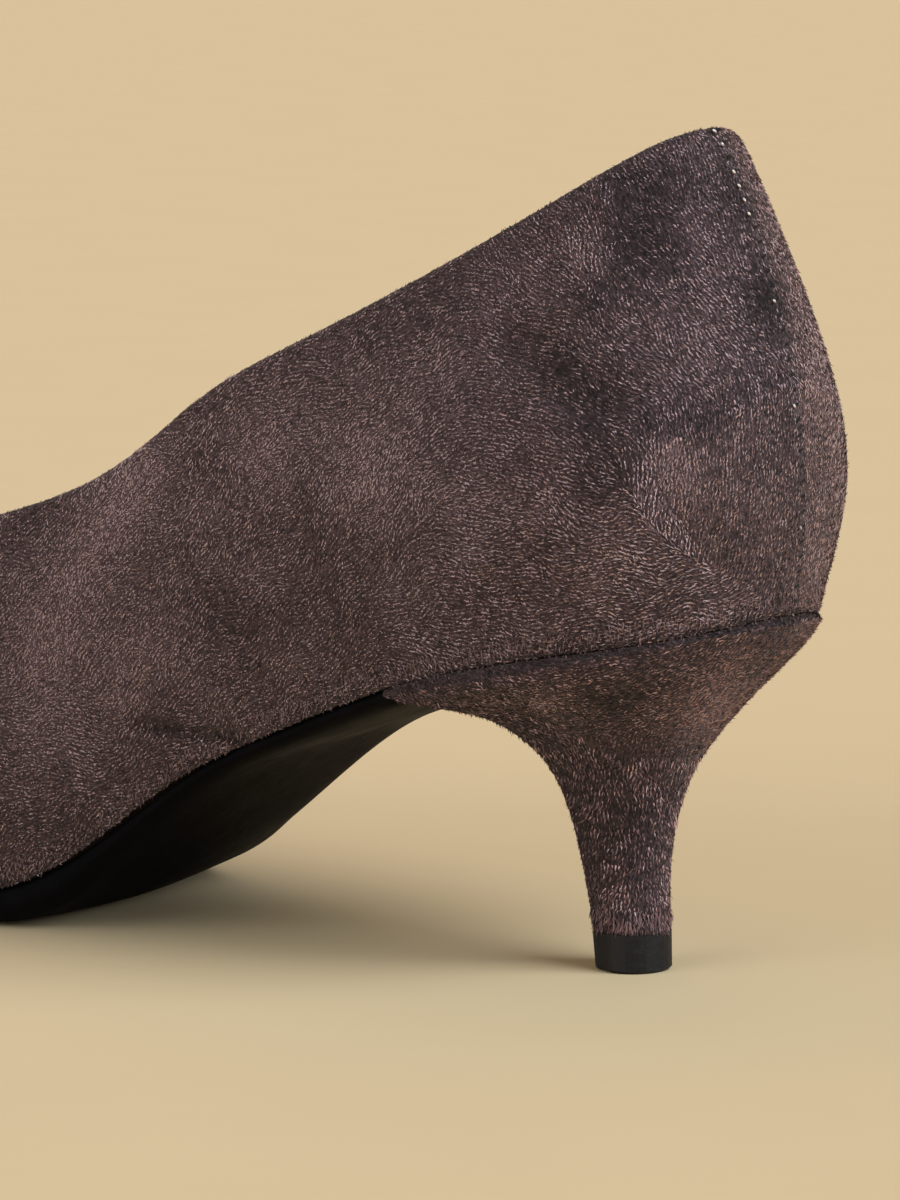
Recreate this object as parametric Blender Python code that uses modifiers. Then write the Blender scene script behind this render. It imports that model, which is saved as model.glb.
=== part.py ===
"""A women's kitten heel pump, a left shoe, in metres: upper, outsole, heel, top piece and insole.

The shoe stands on the floor at z = 0 with its toe towards -X, its outer side towards -Y and its
inner side towards +Y. "along" is the distance forward from the backmost point of the upper.
"""
import math
from collections import namedtuple

import bpy
import bmesh
import numpy as np

# Driving sizes
shoe_length = 0.255
ball_width = 0.075
seat_width = 0.0526
heel_height = 0.0468
back_height = 0.059
instep_height = 0.034
toe_spring = 0.007
arch_lift = 0.004
forepart_swing = 0.008

# Walls and layers
upper_wall = 0.0018
sole_thickness = 0.0042
shank_thickness = 0.0024
sole_tip_thickness = 0.0026
insole_thickness = 0.002
clearance = 0.0003
sole_inset = 0.0009
sole_bevel = 0.0022
sole_belly = 0.0018
tread_give = 0.0002

# Back seam: a low lapped ridge beside the stitch line
seam_rise = 0.0004
seam_width = 0.0010
seam_offset = 0.0009

# Heel end
top_piece_height = 0.0052
top_piece_stand = 0.0001
top_piece_chamfer = 0.0004

# How finely the curved pieces are cut
ribs_between_stations = (5, 4, 4, 4, 2, 2, 3, 2, 2, 4, 4, 4, 4, 4, 3)
rows_up_the_upper = 14
sections_along_a_sole = 44
points_across_a_sole = 7
points_round_a_heel_side = 13
points_across_a_breast = 5
outline_steps = 40
tangent_step = 0.00002
crease_angle = 35.0

# Stations round one side of the shoe, from the middle of the back to the tip of the toe.
# along is a share of shoe_length. lateral and medial are half widths at the feather line, where
# upper and sole meet. hind says how far a station follows the heel's sizes (1) or the ball's (0).
# heel is a share of heel_height, lift of arch_lift on the medial side, spring of toe_spring and
# swing of forepart_swing, the turn of the forepart towards the medial side.
Station = namedtuple("Station", "place hind along lateral medial heel lift spring swing")
STATIONS = (
    Station("back",        1.00, 0.006, 0.000, 0.000, 1.000, 0.00, 0.00, 0.00),
    Station("back curve",  1.00, 0.031, 0.550, 0.550, 0.953, 0.00, 0.00, 0.00),
    Station("seat",        1.00, 0.086, 0.871, 0.871, 0.893, 0.00, 0.00, 0.00),
    Station("breast",      1.00, 0.157, 0.996, 0.996, 0.794, 0.00, 0.00, 0.00),
    Station("waist back",  0.80, 0.243, 0.925, 0.848, 0.596, 0.55, 0.00, 0.00),
    Station("arch",        0.65, 0.290, 0.881, 0.748, 0.469, 0.90, 0.00, 0.00),
    Station("waist",       0.50, 0.329, 0.846, 0.683, 0.315, 1.00, 0.00, 0.00),
    Station("shank end",   0.25, 0.408, 0.873, 0.680, 0.032, 0.60, 0.00, 0.00),
    Station("tread edge",  0.10, 0.447, 0.896, 0.723, 0.004, 0.10, 0.00, 0.02),
    Station("tread",       0.00, 0.502, 0.933, 0.813, 0.000, 0.00, 0.00, 0.04),
    Station("ball",        0.00, 0.596, 0.992, 0.960, 0.000, 0.00, 0.00, 0.14),
    Station("toe joint",   0.00, 0.698, 0.920, 0.920, 0.000, 0.00, 0.03, 0.34),
    Station("forepart",    0.00, 0.804, 0.693, 0.707, 0.000, 0.00, 0.20, 0.60),
    Station("toe",         0.00, 0.910, 0.379, 0.389, 0.000, 0.00, 0.56, 0.84),
    Station("toe end",     0.00, 0.975, 0.160, 0.165, 0.000, 0.00, 0.88, 0.97),
    Station("tip",         0.00, 0.997, 0.000, 0.000, 0.000, 0.00, 1.00, 1.00),
)

# Guide rings of the upper above the feather line, one row a station, in the stations' order.
# ahead is a share of shoe_length, lateral and medial add to the half width, and rise is a share
# of back_height at the heel and of instep_height in the forepart. inner adds to the rise on the
# medial side.
Guide = namedtuple("Guide", "ahead lateral medial rise inner", defaults=(0.0,))
LOW = (
    Guide(-0.005, 0.000, 0.000, 0.125),
    Guide(-0.003, 0.085, 0.085, 0.115),
    Guide(-0.001, 0.076, 0.076, 0.110),
    Guide(0.000, 0.084, 0.084, 0.110),
    Guide(0.000, 0.091, 0.084, 0.126),
    Guide(0.000, 0.093, 0.096, 0.137),
    Guide(0.000, 0.091, 0.107, 0.151),
    Guide(0.000, 0.084, 0.104, 0.174),
    Guide(0.000, 0.074, 0.088, 0.192),
    Guide(0.000, 0.069, 0.080, 0.206),
    Guide(0.000, 0.059, 0.064, 0.206),
    Guide(0.000, 0.051, 0.053, 0.191),
    Guide(0.000, 0.026, 0.026, 0.130),
    Guide(0.000, 0.008, 0.008, 0.110),
    Guide(-0.001, 0.004, 0.004, 0.100),
    Guide(-0.001, 0.000, 0.000, 0.095),
)
SIDE = (
    Guide(-0.006, 0.000, 0.000, 0.246),
    Guide(-0.005, 0.170, 0.170, 0.240),
    Guide(-0.002, 0.160, 0.160, 0.237),
    Guide(0.000, 0.144, 0.144, 0.237),
    Guide(0.000, 0.133, 0.161, 0.278),
    Guide(0.000, 0.126, 0.192, 0.308),
    Guide(0.000, 0.119, 0.219, 0.344),
    Guide(0.000, 0.098, 0.216, 0.410),
    Guide(0.000, 0.074, 0.170, 0.466),
    Guide(0.000, 0.059, 0.123, 0.500),
    Guide(0.000, -0.013, 0.040, 0.529),
    Guide(-0.004, -0.070, -0.030, 0.495),
    Guide(-0.012, -0.100, -0.085, 0.430),
    Guide(-0.020, -0.066, -0.064, 0.350),
    Guide(-0.026, -0.030, -0.030, 0.310),
    Guide(-0.029, 0.000, 0.000, 0.295),
)
HIGH = (
    Guide(0.010, 0.000, 0.000, 0.635),
    Guide(0.010, 0.090, 0.090, 0.615),
    Guide(0.008, 0.035, 0.035, 0.593),
    Guide(0.004, 0.049, 0.049, 0.559),
    Guide(0.000, 0.109, 0.144, 0.574),
    Guide(0.000, 0.119, 0.195, 0.617),
    Guide(0.000, 0.125, 0.225, 0.667, 0.040),
    Guide(-0.002, 0.078, 0.215, 0.795, 0.050),
    Guide(-0.005, 0.022, 0.140, 0.871, 0.060),
    Guide(-0.008, -0.040, 0.058, 0.912, 0.040),
    Guide(-0.016, -0.219, -0.173, 0.941, 0.015),
    Guide(-0.039, -0.330, -0.320, 0.922),
    Guide(-0.075, -0.290, -0.290, 0.868),
    Guide(-0.114, -0.130, -0.140, 0.760),
    Guide(-0.141, -0.040, -0.045, 0.672),
    Guide(-0.152, 0.000, 0.000, 0.636),
)
TOPLINE = (
    Guide(0.046, 0.000, 0.000, 1.000),
    Guide(0.035, -0.170, -0.170, 0.993),
    Guide(0.020, -0.222, -0.222, 0.917),
    Guide(0.008, -0.179, -0.179, 0.839),
    Guide(0.000, -0.049, 0.014, 0.886),
    Guide(0.000, 0.003, 0.100, 0.929),
    Guide(0.000, 0.031, 0.150, 0.972, 0.067),
    Guide(0.000, -0.023, 0.130, 1.215, 0.082),
    Guide(-0.006, -0.099, 0.050, 1.301, 0.099),
    Guide(-0.012, -0.187, -0.067, 1.297, 0.065),
    Guide(-0.027, -0.365, -0.333, 1.153, 0.024),
    Guide(-0.071, -0.467, -0.467, 1.056),
    Guide(-0.141, -0.413, -0.427, 0.982),
    Guide(-0.227, -0.240, -0.250, 0.894),
    Guide(-0.286, -0.101, -0.105, 0.835),
    Guide(-0.304, 0.000, 0.000, 0.812),
)

# Sections of the heel from just under its rim down to the top piece. back and front are along,
# as shares of shoe_length. rear and fore are heights at the back and at the breast, as shares of
# heel_height. side and corner are half widths at the widest place and at the breast, as shares of
# half the seat width. hollow is how far the breast is scooped, a share of shoe_length, and widest
# is where the section is widest, as a share of its own length from the back. The wings beside the
# hollow are cut from points that start wing_reach times its depth behind the front.
Section = namedtuple("Section", "back rear front fore side corner hollow widest")
wing_reach = 1.15
HEEL_RIM = Section(0.0043, 0.970, 0.1742, 0.761, 1.015, 1.004, 0.039, 0.90)
HEEL = (
    Section(0.0100, 0.921, 0.1665, 0.750, 0.980, 0.992, 0.035, 0.88),
    Section(0.0210, 0.857, 0.1560, 0.742, 0.866, 0.966, 0.031, 0.82),
    Section(0.0340, 0.784, 0.1450, 0.730, 0.707, 0.870, 0.023, 0.76),
    Section(0.0475, 0.705, 0.1345, 0.700, 0.545, 0.650, 0.014, 0.70),
    Section(0.0618, 0.611, 0.1270, 0.611, 0.400, 0.425, 0.007, 0.64),
    Section(0.0722, 0.521, 0.1224, 0.521, 0.300, 0.297, 0.003, 0.60),
    Section(0.0796, 0.395, 0.1192, 0.395, 0.230, 0.213, 0.002, 0.58),
    Section(0.0824, 0.256, 0.1157, 0.256, 0.194, 0.171, 0.001, 0.58),
)
HEEL_END = Section(0.0808, 0.111, 0.1116, 0.111, 0.181, 0.152, 0.001, 0.58)
HEEL_TREAD = Section(0.0806, 0.000, 0.1098, 0.000, 0.181, 0.150, 0.001, 0.58)

COLLECTION = "kitten_heel_pump"

SUEDE = ("suede", (0.105, 0.079, 0.075, 1.0), 0.95)
RUBBER = ("sole_rubber", (0.012, 0.012, 0.013, 1.0), 0.5)
TIP_RUBBER = ("tip_rubber", (0.016, 0.017, 0.018, 1.0), 0.6)
SOCK = ("sock_lining", (0.45, 0.34, 0.24, 1.0), 0.7)


def mix(a, b, share):
    return a + (b - a) * share


def through(places, values, at):
    """A natural cubic curve through values at places, read at other places."""
    places = np.asarray(places, float)
    values = np.asarray(values, float)
    at = np.asarray(at, float)
    gaps = np.diff(places)
    count = len(places)
    system = np.eye(count)
    right = np.zeros(values.shape)
    for i in range(1, count - 1):
        system[i, i - 1:i + 2] = gaps[i - 1], 2 * (gaps[i - 1] + gaps[i]), gaps[i]
        right[i] = 6 * ((values[i + 1] - values[i]) / gaps[i] - (values[i] - values[i - 1]) / gaps[i - 1])
    bend = np.linalg.solve(system, right)
    span = np.clip(np.searchsorted(places, at) - 1, 0, count - 2)
    gap = gaps[span]
    before = ((places[span + 1] - at) / gap)[:, None]
    after = ((at - places[span]) / gap)[:, None]
    curve = before * values[span] + after * values[span + 1]
    sag = ((before ** 3 - before) * bend[span] + (after ** 3 - after) * bend[span + 1])
    return curve + sag * (gap ** 2)[:, None] / 6


def station(place):
    """The station of a name."""
    return next(s for s in STATIONS if s.place == place)


def width_unit(here):
    return mix(ball_width, seat_width, here.hind) / 2


def rise_unit(here):
    return mix(instep_height, back_height, here.hind)


def feather_point(here, side):
    """The point of the feather line at a station; side is -1 lateral or +1 medial."""
    half = here.lateral if side < 0 else here.medial
    lift = here.lift * arch_lift if side > 0 else 0.0
    ground = sole_thickness + clearance - tread_give
    height = ground + here.heel * (heel_height - ground) + here.spring * toe_spring + lift
    across = side * half * width_unit(here) + here.swing * forepart_swing
    return (here.along * shoe_length, across, height)


def guide_point(here, guide, side):
    """The point of a guide ring over a station."""
    along, across, height = feather_point(here, side)
    spread = guide.lateral if side < 0 else guide.medial
    return (along + guide.ahead * shoe_length,
            across + side * spread * width_unit(here),
            height + (guide.rise + (guide.inner if side > 0 else 0.0)) * rise_unit(here))


def closed_ring(points_of_side):
    """The points of the whole ring: back, lateral side, tip, and medial side back again."""
    lateral = points_of_side(-1)
    medial = points_of_side(1)
    return np.array(lateral + medial[-2:0:-1])


def feather_ring():
    return closed_ring(lambda side: [feather_point(s, side) for s in STATIONS])


def guide_ring(guides):
    return closed_ring(lambda side: [guide_point(s, g, side) for s, g in zip(STATIONS, guides)])


def ring_places():
    """Where the ring's points lie round the shoe: the distance round the feather line."""
    ring = feather_ring()
    steps = np.linalg.norm(np.diff(np.vstack([ring, ring[:1]]), axis=0), axis=1)
    return np.concatenate([[0.0], np.cumsum(steps)])


def round_the_ring(ring, at):
    """A smooth closed curve through a ring's points, read at places round the shoe.

    A few points are repeated past each end, so that the curve closes without a kink.
    """
    places = ring_places()
    whole = places[-1]
    over = 4
    wrapped = np.concatenate([places[-1 - over:-1] - whole, places[:-1], places[:over] + whole])
    points = np.vstack([ring[-over:], ring, ring[:over]])
    return through(wrapped, points, np.mod(at, whole))


def rib_places():
    """Places of the upper's ribs, with a few close together at the back seam."""
    places = ring_places()
    whole = places[-1]
    seam_end = seam_offset + seam_width
    seam = [0.0, seam_offset, seam_end, 2 * seam_end]
    lateral = []
    medial = []
    for i, count in enumerate(ribs_between_stations):
        lateral.extend(np.linspace(places[i], places[i + 1], count, endpoint=False))
        medial.extend(np.linspace(places[-1 - i], places[-2 - i], count, endpoint=False))
    lateral = [place for place in lateral if place > 3 * seam_end]
    medial = [place for place in medial if place < whole - 3 * seam_end]
    tip = places[len(STATIONS) - 1]
    return np.array(seam + lateral + [tip] + medial[::-1] + [whole - place for place in seam[:0:-1]])


def upper_surface():
    """The outer face of the upper: ribs round the shoe, each from feather line to topline."""
    at = rib_places()
    rings = [round_the_ring(ring, at) for ring in
             (feather_ring(), guide_ring(LOW), guide_ring(SIDE), guide_ring(HIGH), guide_ring(TOPLINE))]
    up = np.linspace(0.0, 1.0, rows_up_the_upper + 1)
    ribs = []
    for points in zip(*rings):
        points = np.array(points)
        reach = np.concatenate([[0.0], np.cumsum(np.linalg.norm(np.diff(points, axis=0), axis=1))])
        ribs.append(through(reach, points, up * reach[-1]))
    whole = ring_places()[-1]
    for rib, place in zip(ribs, at):
        from_seam = (place if place < whole / 2 else place - whole) - seam_offset
        rib[:, 0] -= seam_rise * math.exp(-(from_seam / seam_width) ** 2)
    return ribs


def outline(inset, side):
    """One side of the feather line seen from above, moved inwards; rows of along and across."""
    places = ring_places()
    last = len(STATIONS) - 1
    count = last * outline_steps
    if side < 0:
        at = np.linspace(0.0, places[last], count)
    else:
        at = np.linspace(places[-1], places[last], count)
    here = round_the_ring(feather_ring(), at)[:, :2]
    after = round_the_ring(feather_ring(), at + tangent_step)[:, :2]
    before = round_the_ring(feather_ring(), at - tangent_step)[:, :2]
    step = after - before
    step /= np.linalg.norm(step, axis=1)[:, None]
    inward = np.stack([-step[:, 1], step[:, 0]], axis=1)
    return here + inward * inset


class Bed:
    """The surface at the feather line, straight across, on which the pieces of the bottom lie."""

    def __init__(self):
        places = ring_places()
        last = len(STATIONS) - 1
        ring = feather_ring()
        count = last * outline_steps
        self.lateral = round_the_ring(ring, np.linspace(0.0, places[last], count))
        self.medial = round_the_ring(ring, np.linspace(places[-1], places[last], count))

    def edge(self, side_curve, along):
        across = np.interp(along, side_curve[:, 0], side_curve[:, 1])
        height = np.interp(along, side_curve[:, 0], side_curve[:, 2])
        return across, height

    def height(self, along, across):
        y0, z0 = self.edge(self.lateral, along)
        y1, z1 = self.edge(self.medial, along)
        wide = max(y1 - y0, clearance)
        share = min(max((across - y0) / wide, 0.0), 1.0)
        return mix(z0, z1, share)


def world(point):
    """From along, across and height to the model's axes."""
    along, across, height = point
    return (-along, across, height)


def new_object(name, mesh, material, root, collection):
    obj = bpy.data.objects.new(name, mesh)
    collection.objects.link(obj)
    obj.parent = root
    obj.data.materials.append(material)
    obj.data.shade_smooth()
    obj.data.set_sharp_from_angle(angle=math.radians(crease_angle))
    return obj


def loft(rings, closed=True, caps=None):
    """A bmesh from rings of equal length; closed joins each ring's last point to its first."""
    bm = bmesh.new()
    rows = [[bm.verts.new(world(p)) for p in ring] for ring in rings]
    for low, high in zip(rows, rows[1:]):
        count = len(low) if closed else len(low) - 1
        for i in range(count):
            j = (i + 1) % len(low)
            bm.faces.new((low[i], low[j], high[j], high[i]))
    if caps:
        caps(bm, rows[0])
        caps(bm, rows[-1])
    bmesh.ops.recalc_face_normals(bm, faces=bm.faces)
    return bm


def finish_mesh(bm, name):
    mesh = bpy.data.meshes.new(name)
    bm.to_mesh(mesh)
    bm.free()
    return mesh


def flat_cap(bm, row):
    bm.faces.new(row)


def build_upper(material, root, collection):
    ribs = upper_surface()
    rings = [[rib[row] for rib in ribs] for row in range(rows_up_the_upper + 1)]
    bm = loft(rings)
    if not outward(bm):
        bmesh.ops.reverse_faces(bm, faces=bm.faces)
    obj = new_object("upper", finish_mesh(bm, "upper"), material, root, collection)
    wall = obj.modifiers.new("Wall", "SOLIDIFY")
    wall.thickness = upper_wall
    wall.offset = -1.0
    wall.use_even_offset = True
    wall.use_quality_normals = True
    return obj


def outward(bm):
    """True where the faces at the back of the upper point backwards."""
    bm.normal_update()
    back = max(bm.faces, key=lambda face: face.calc_center_median().x)
    return back.normal.x > 0


def sole_stations(start, end):
    """Places along a sole, closer together at its ends and just short of them."""
    start, end = start + clearance, end - clearance
    even = np.linspace(0.0, 1.0, sections_along_a_sole)
    eased = (1 - np.cos(math.pi * even)) / 2
    return mix(start, end, (even + eased) / 2)


def half_widths(along, lateral, medial):
    return (np.interp(along, lateral[:, 0], lateral[:, 1]), np.interp(along, medial[:, 0], medial[:, 1]))


def insole_section(bed, along, lateral, medial):
    across = np.linspace(*half_widths(along, lateral, medial), points_across_a_sole)
    under = [(along, y, bed.height(along, y)) for y in across]
    over = [(x, y, z + insole_thickness) for x, y, z in under[::-1]]
    return under + over


def build_insole(bed, material, root, collection):
    inset = upper_wall + 2 * clearance
    lateral = outline(inset, -1)
    medial = outline(inset, 1)
    places = sole_stations(lateral[0, 0], lateral[-1, 0])
    sections = [insole_section(bed, along, lateral, medial) for along in places]
    bm = loft(sections, caps=flat_cap)
    return new_object("insole", finish_mesh(bm, "insole"), material, root, collection)


def breast_half_width(along):
    """Half width of the space between the heel's wings at a place along the shoe."""
    front = HEEL_RIM.front * shoe_length
    deep = HEEL_RIM.hollow * shoe_length
    corner = HEEL_RIM.corner * seat_width / 2
    reach = 1 - (front + clearance - along) / deep
    if reach >= 1:
        return ball_width
    return corner * math.sqrt(max(reach, 0.0))


def along_the_sole(along, values):
    """A value at a place along the outsole, from its values where the sole changes."""
    places = [station(name).along * shoe_length for name in ("arch", "tread edge", "toe joint", "tip")]
    return float(np.interp(along, places, values))


def outsole_section(bed, along, lateral, medial):
    y0, y1 = half_widths(along, lateral, medial)
    gap = breast_half_width(along)
    y0 = max(y0, -gap)
    y1 = min(y1, gap)
    deep = along_the_sole(along, (shank_thickness, sole_thickness, sole_thickness, sole_tip_thickness))
    sag = along_the_sole(along, (0.0, sole_belly, 0.0, 0.0))
    bevel = min(sole_bevel, (y1 - y0) / 4)
    over = [(y, 0.0) for y in np.linspace(y0, y1, points_across_a_sole)]
    under = []
    for share in np.linspace(1.0, 0.0, points_across_a_sole):
        drop = deep + sag * math.sin(math.pi * share)
        under.append((mix(y0 + bevel, y1 - bevel, share), drop))
    loop = over + [(y1, deep / 2)] + under + [(y0, deep / 2)]
    return [(along, y, max(bed.height(along, y) - clearance - drop, 0.0)) for y, drop in loop]


def build_outsole(bed, material, root, collection):
    lateral = outline(sole_inset, -1)
    medial = outline(sole_inset, 1)
    start = (HEEL_RIM.front - HEEL_RIM.hollow) * shoe_length + clearance
    places = sole_stations(start, lateral[-1, 0])
    sections = [outsole_section(bed, along, lateral, medial) for along in places]
    bm = loft(sections, caps=flat_cap)
    return new_object("outsole", finish_mesh(bm, "outsole"), material, root, collection)


def side_width(section, along):
    """Half width of a heel section: a quarter ellipse at the back, easing into the breast's corner."""
    back = section.back * shoe_length
    front = section.front * shoe_length
    side = section.side * seat_width / 2
    corner = section.corner * seat_width / 2
    widest = mix(back, front, section.widest)
    if along < widest:
        behind = (widest - along) / (widest - back)
        return side * math.sqrt(max(1 - behind ** 2, 0.0))
    ease = (1 - math.cos(math.pi * (along - widest) / (front - widest))) / 2
    return mix(side, corner, ease)


def half_section(section):
    """One side of a heel section from the middle of its back to the middle of its breast."""
    back = section.back * shoe_length
    front = section.front * shoe_length
    corner = section.corner * seat_width / 2
    hollow = section.hollow * shoe_length
    wing_root = front - max(wing_reach * hollow, (1 - section.widest) * (front - back))
    turning = points_round_a_heel_side - points_across_a_breast
    places = [mix(back, wing_root, 1 - math.cos(math.pi / 2 * i / turning)) for i in range(turning)]
    places.extend(np.linspace(wing_root, front, points_across_a_breast + 1))
    points = [(along, side_width(section, along)) for along in places]
    for i in range(1, points_across_a_breast + 1):
        share = 1 - i / points_across_a_breast
        points.append((front - hollow * (1 - share ** 2), corner * share))
    return points


def whole_loop(half, height):
    """Both sides of a heel section, with heights from height(along, across)."""
    lateral = [(a, -c, height(a, -c)) for a, c in half]
    medial = [(a, c, height(a, c)) for a, c in half[-2:0:-1]]
    return lateral + medial


def section_loop(section):
    half = half_section(section)
    back = section.back * shoe_length
    front = section.front * shoe_length

    def height(along, across):
        return heel_height * mix(section.rear, section.fore, (along - back) / (front - back))
    return whole_loop(half, height)


def seat_loop(bed):
    """The top edge of the heel: the seat's own outline, clearance below the upper."""
    half = half_section(HEEL_RIM)
    edge = outline(0.0, 1)
    front = HEEL_RIM.front * shoe_length
    middle = (edge[0, 0], 0.0)
    corner = (front, float(np.interp(front, edge[:, 0], edge[:, 1])))
    sides = []
    for point in half[1:points_round_a_heel_side]:
        nearest = np.argmin(np.linalg.norm(edge - point, axis=1))
        sides.append(tuple(edge[nearest]))
    breast = half[points_round_a_heel_side + 1:]
    return whole_loop([middle, *sides, corner, *breast], lambda a, c: bed.height(a, c) - clearance)


def heel_cap(bm, row):
    """Closes a heel section with strips straight across, and along each wing."""
    half = len(row) // 2
    lateral = row[:half + 1]
    medial = [row[0]] + row[:half - 1:-1]
    wing = points_across_a_breast
    corner = half - wing
    root = corner - wing
    for i in range(root):
        quad = [lateral[i], lateral[i + 1], medial[i + 1], medial[i]]
        if i == 0:
            quad = quad[:3]
        bm.faces.new(quad)
    middle = row[half]
    bm.faces.new((lateral[root], middle, medial[root]))
    for flank in (lateral, medial):
        for i in range(wing):
            outer = flank[root + i], flank[root + i + 1]
            inner = flank[half - i], flank[half - i - 1]
            if i == wing - 1:
                bm.faces.new((outer[0], outer[1], inner[0]))
            else:
                bm.faces.new((outer[0], outer[1], inner[1], inner[0]))


def build_heel(bed, material, root, collection):
    end = grown(HEEL_END, 0.0, top_piece_height)
    rings = [seat_loop(bed)] + [section_loop(s) for s in (HEEL_RIM, *HEEL, end)]
    bm = loft(rings, caps=heel_cap)
    return new_object("heel", finish_mesh(bm, "heel"), material, root, collection)


def grown(section, grow, height):
    """A level copy of a heel section, larger by grow all round, at a height in metres."""
    half = seat_width / 2
    level = height / heel_height
    return section._replace(back=section.back - grow / shoe_length, front=section.front + grow / shoe_length,
                            side=section.side + grow / half, corner=section.corner + grow / half,
                            rear=level, fore=level)


def build_top_piece(material, root, collection):
    rings = [section_loop(grown(HEEL_END, top_piece_stand, top_piece_height - clearance)),
             section_loop(grown(HEEL_TREAD, top_piece_stand, top_piece_chamfer)),
             section_loop(grown(HEEL_TREAD, top_piece_stand - top_piece_chamfer, 0.0))]
    bm = loft(rings, caps=heel_cap)
    return new_object("top_piece", finish_mesh(bm, "top_piece"), material, root, collection)


def make_material(name, colour, roughness):
    material = bpy.data.materials.new(name)
    material.use_nodes = True
    shader = material.node_tree.nodes["Principled BSDF"]
    shader.inputs["Base Color"].default_value = colour
    shader.inputs["Roughness"].default_value = roughness
    shader.inputs["Metallic"].default_value = 0.0
    return material


def stand_on_origin(root, pieces):
    """Moves the whole shoe so that the middle of its underside box is the origin."""
    bpy.context.view_layer.update()
    graph = bpy.context.evaluated_depsgraph_get()
    corners = []
    for piece in pieces:
        ready = piece.evaluated_get(graph)
        mesh = ready.to_mesh()
        corners.extend(tuple(ready.matrix_world @ v.co) for v in mesh.vertices)
        ready.to_mesh_clear()
    corners = np.array(corners)
    low = corners.min(axis=0)
    high = corners.max(axis=0)
    root.location = (-(low[0] + high[0]) / 2, -(low[1] + high[1]) / 2, -low[2])


def main():
    for obj in list(bpy.data.objects):
        bpy.data.objects.remove(obj, do_unlink=True)
    collection = bpy.data.collections.new(COLLECTION)
    bpy.context.scene.collection.children.link(collection)
    root = bpy.data.objects.new("shoe", None)
    collection.objects.link(root)

    suede = make_material(*SUEDE)
    bed = Bed()
    pieces = [
        build_upper(suede, root, collection),
        build_outsole(bed, make_material(*RUBBER), root, collection),
        build_heel(bed, make_material("heel_cover", *SUEDE[1:]), root, collection),
        build_top_piece(make_material(*TIP_RUBBER), root, collection),
        build_insole(bed, make_material(*SOCK), root, collection),
    ]
    stand_on_origin(root, pieces)
    return pieces


main()
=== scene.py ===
"""A kitten heel court shoe in taupe suede, dressed for a studio picture."""

import math

import bmesh
import bpy
import numpy as np
from mathutils import Matrix, Vector
from mathutils.bvhtree import BVHTree


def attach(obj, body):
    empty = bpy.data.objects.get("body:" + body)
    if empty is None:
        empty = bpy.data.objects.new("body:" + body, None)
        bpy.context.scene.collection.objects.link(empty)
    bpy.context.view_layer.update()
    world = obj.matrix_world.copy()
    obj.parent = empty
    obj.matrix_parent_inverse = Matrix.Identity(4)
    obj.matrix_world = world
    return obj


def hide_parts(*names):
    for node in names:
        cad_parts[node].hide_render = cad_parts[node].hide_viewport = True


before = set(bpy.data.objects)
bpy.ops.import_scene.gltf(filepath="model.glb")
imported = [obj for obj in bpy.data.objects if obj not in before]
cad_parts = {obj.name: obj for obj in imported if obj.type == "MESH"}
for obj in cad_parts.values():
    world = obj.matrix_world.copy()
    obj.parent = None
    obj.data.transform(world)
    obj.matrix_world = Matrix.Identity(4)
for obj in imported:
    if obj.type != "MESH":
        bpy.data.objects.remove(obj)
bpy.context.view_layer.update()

# Along the shoe, X runs from the toe to the heel. The outer side, which the picture shows, is at -Y.

MM = 0.001
WAY_UP = Vector((0, 0, 1))


def paint(red, green, blue):
    """A colour as mixed on a screen, from 0 to 255, as the shaders take it."""
    shares = [value / 255 for value in (red, green, blue)]
    linear = [s / 12.92 if s <= 0.04045 else ((s + 0.055) / 1.055) ** 2.4 for s in shares]
    return (*linear, 1.0)


def ramp(value, start, end):
    """From 0 at start to 1 at end, and level past both."""
    return np.clip((value - start) / (end - start), 0, 1)


def unit(vectors):
    """The vectors, each made 1 long."""
    return vectors / np.maximum(np.linalg.norm(vectors, axis=1, keepdims=True), 1e-12)


# Camera and studio

def aim_camera():
    """The picture is taken from behind the outer side, low down, with a long lens."""
    around, above = math.radians(38), math.radians(7.5)
    distance = 0.8
    picture_height = 1200
    lens_in_pixels = 6400
    film_height = 36
    heel_tip = Vector((102.02, -0.9, 0)) * MM
    tip_right, tip_down = 185.5, 368
    forward = Vector(
        (-math.sin(around) * math.cos(above), math.cos(around) * math.cos(above), -math.sin(above))
    )
    right = Vector((math.cos(around), math.sin(around), 0))
    up = right.cross(forward)
    place = heel_tip - forward * distance
    place -= right * (tip_right / lens_in_pixels * distance)
    place += up * (tip_down / lens_in_pixels * distance)
    lens = bpy.data.cameras.new("studio_camera")
    lens.sensor_width = film_height
    lens.lens = lens_in_pixels / picture_height * film_height
    lens.clip_start = 0.05
    lens.clip_end = 50
    camera = bpy.data.objects.new("studio_camera", lens)
    turned = Matrix((right, up, -forward)).transposed()
    camera.matrix_world = Matrix.Translation(place) @ turned.to_4x4()
    bpy.context.scene.collection.objects.link(camera)
    bpy.context.scene.camera = camera


# Light. Around is in degrees from behind the heel towards the outer side of the shoe.
# Lamps: around, height in degrees, share of the floor's light, width in degrees, tint.
# Glows: around, strength, tint.

COOL, PLAIN, WARM = (0.96, 1.02, 1.08), (1.0, 0.97, 0.94), (1.0, 0.60, 0.32)
LAMPS = (
    ("wide_lamp", -10, 34, 0.52, 50, COOL),
    ("top_lamp", 0, 52, 0.13, 60, COOL),
    ("side_lamp", 104, 14, 0.09, 50, PLAIN),
)
GLOWS = ((210, 0.95, WARM), (120, 0.40, PLAIN))
GLOW_HEIGHT = 8.5
GLOW_STARTS = 0.1
GLOW_ELSEWHERE = 0.03


def from_side(around, above):
    """The way towards a light."""
    around, above = math.radians(around), math.radians(above)
    level = math.cos(above)
    return Vector((math.cos(around) * level, -math.sin(around) * level, math.sin(above)))


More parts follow.
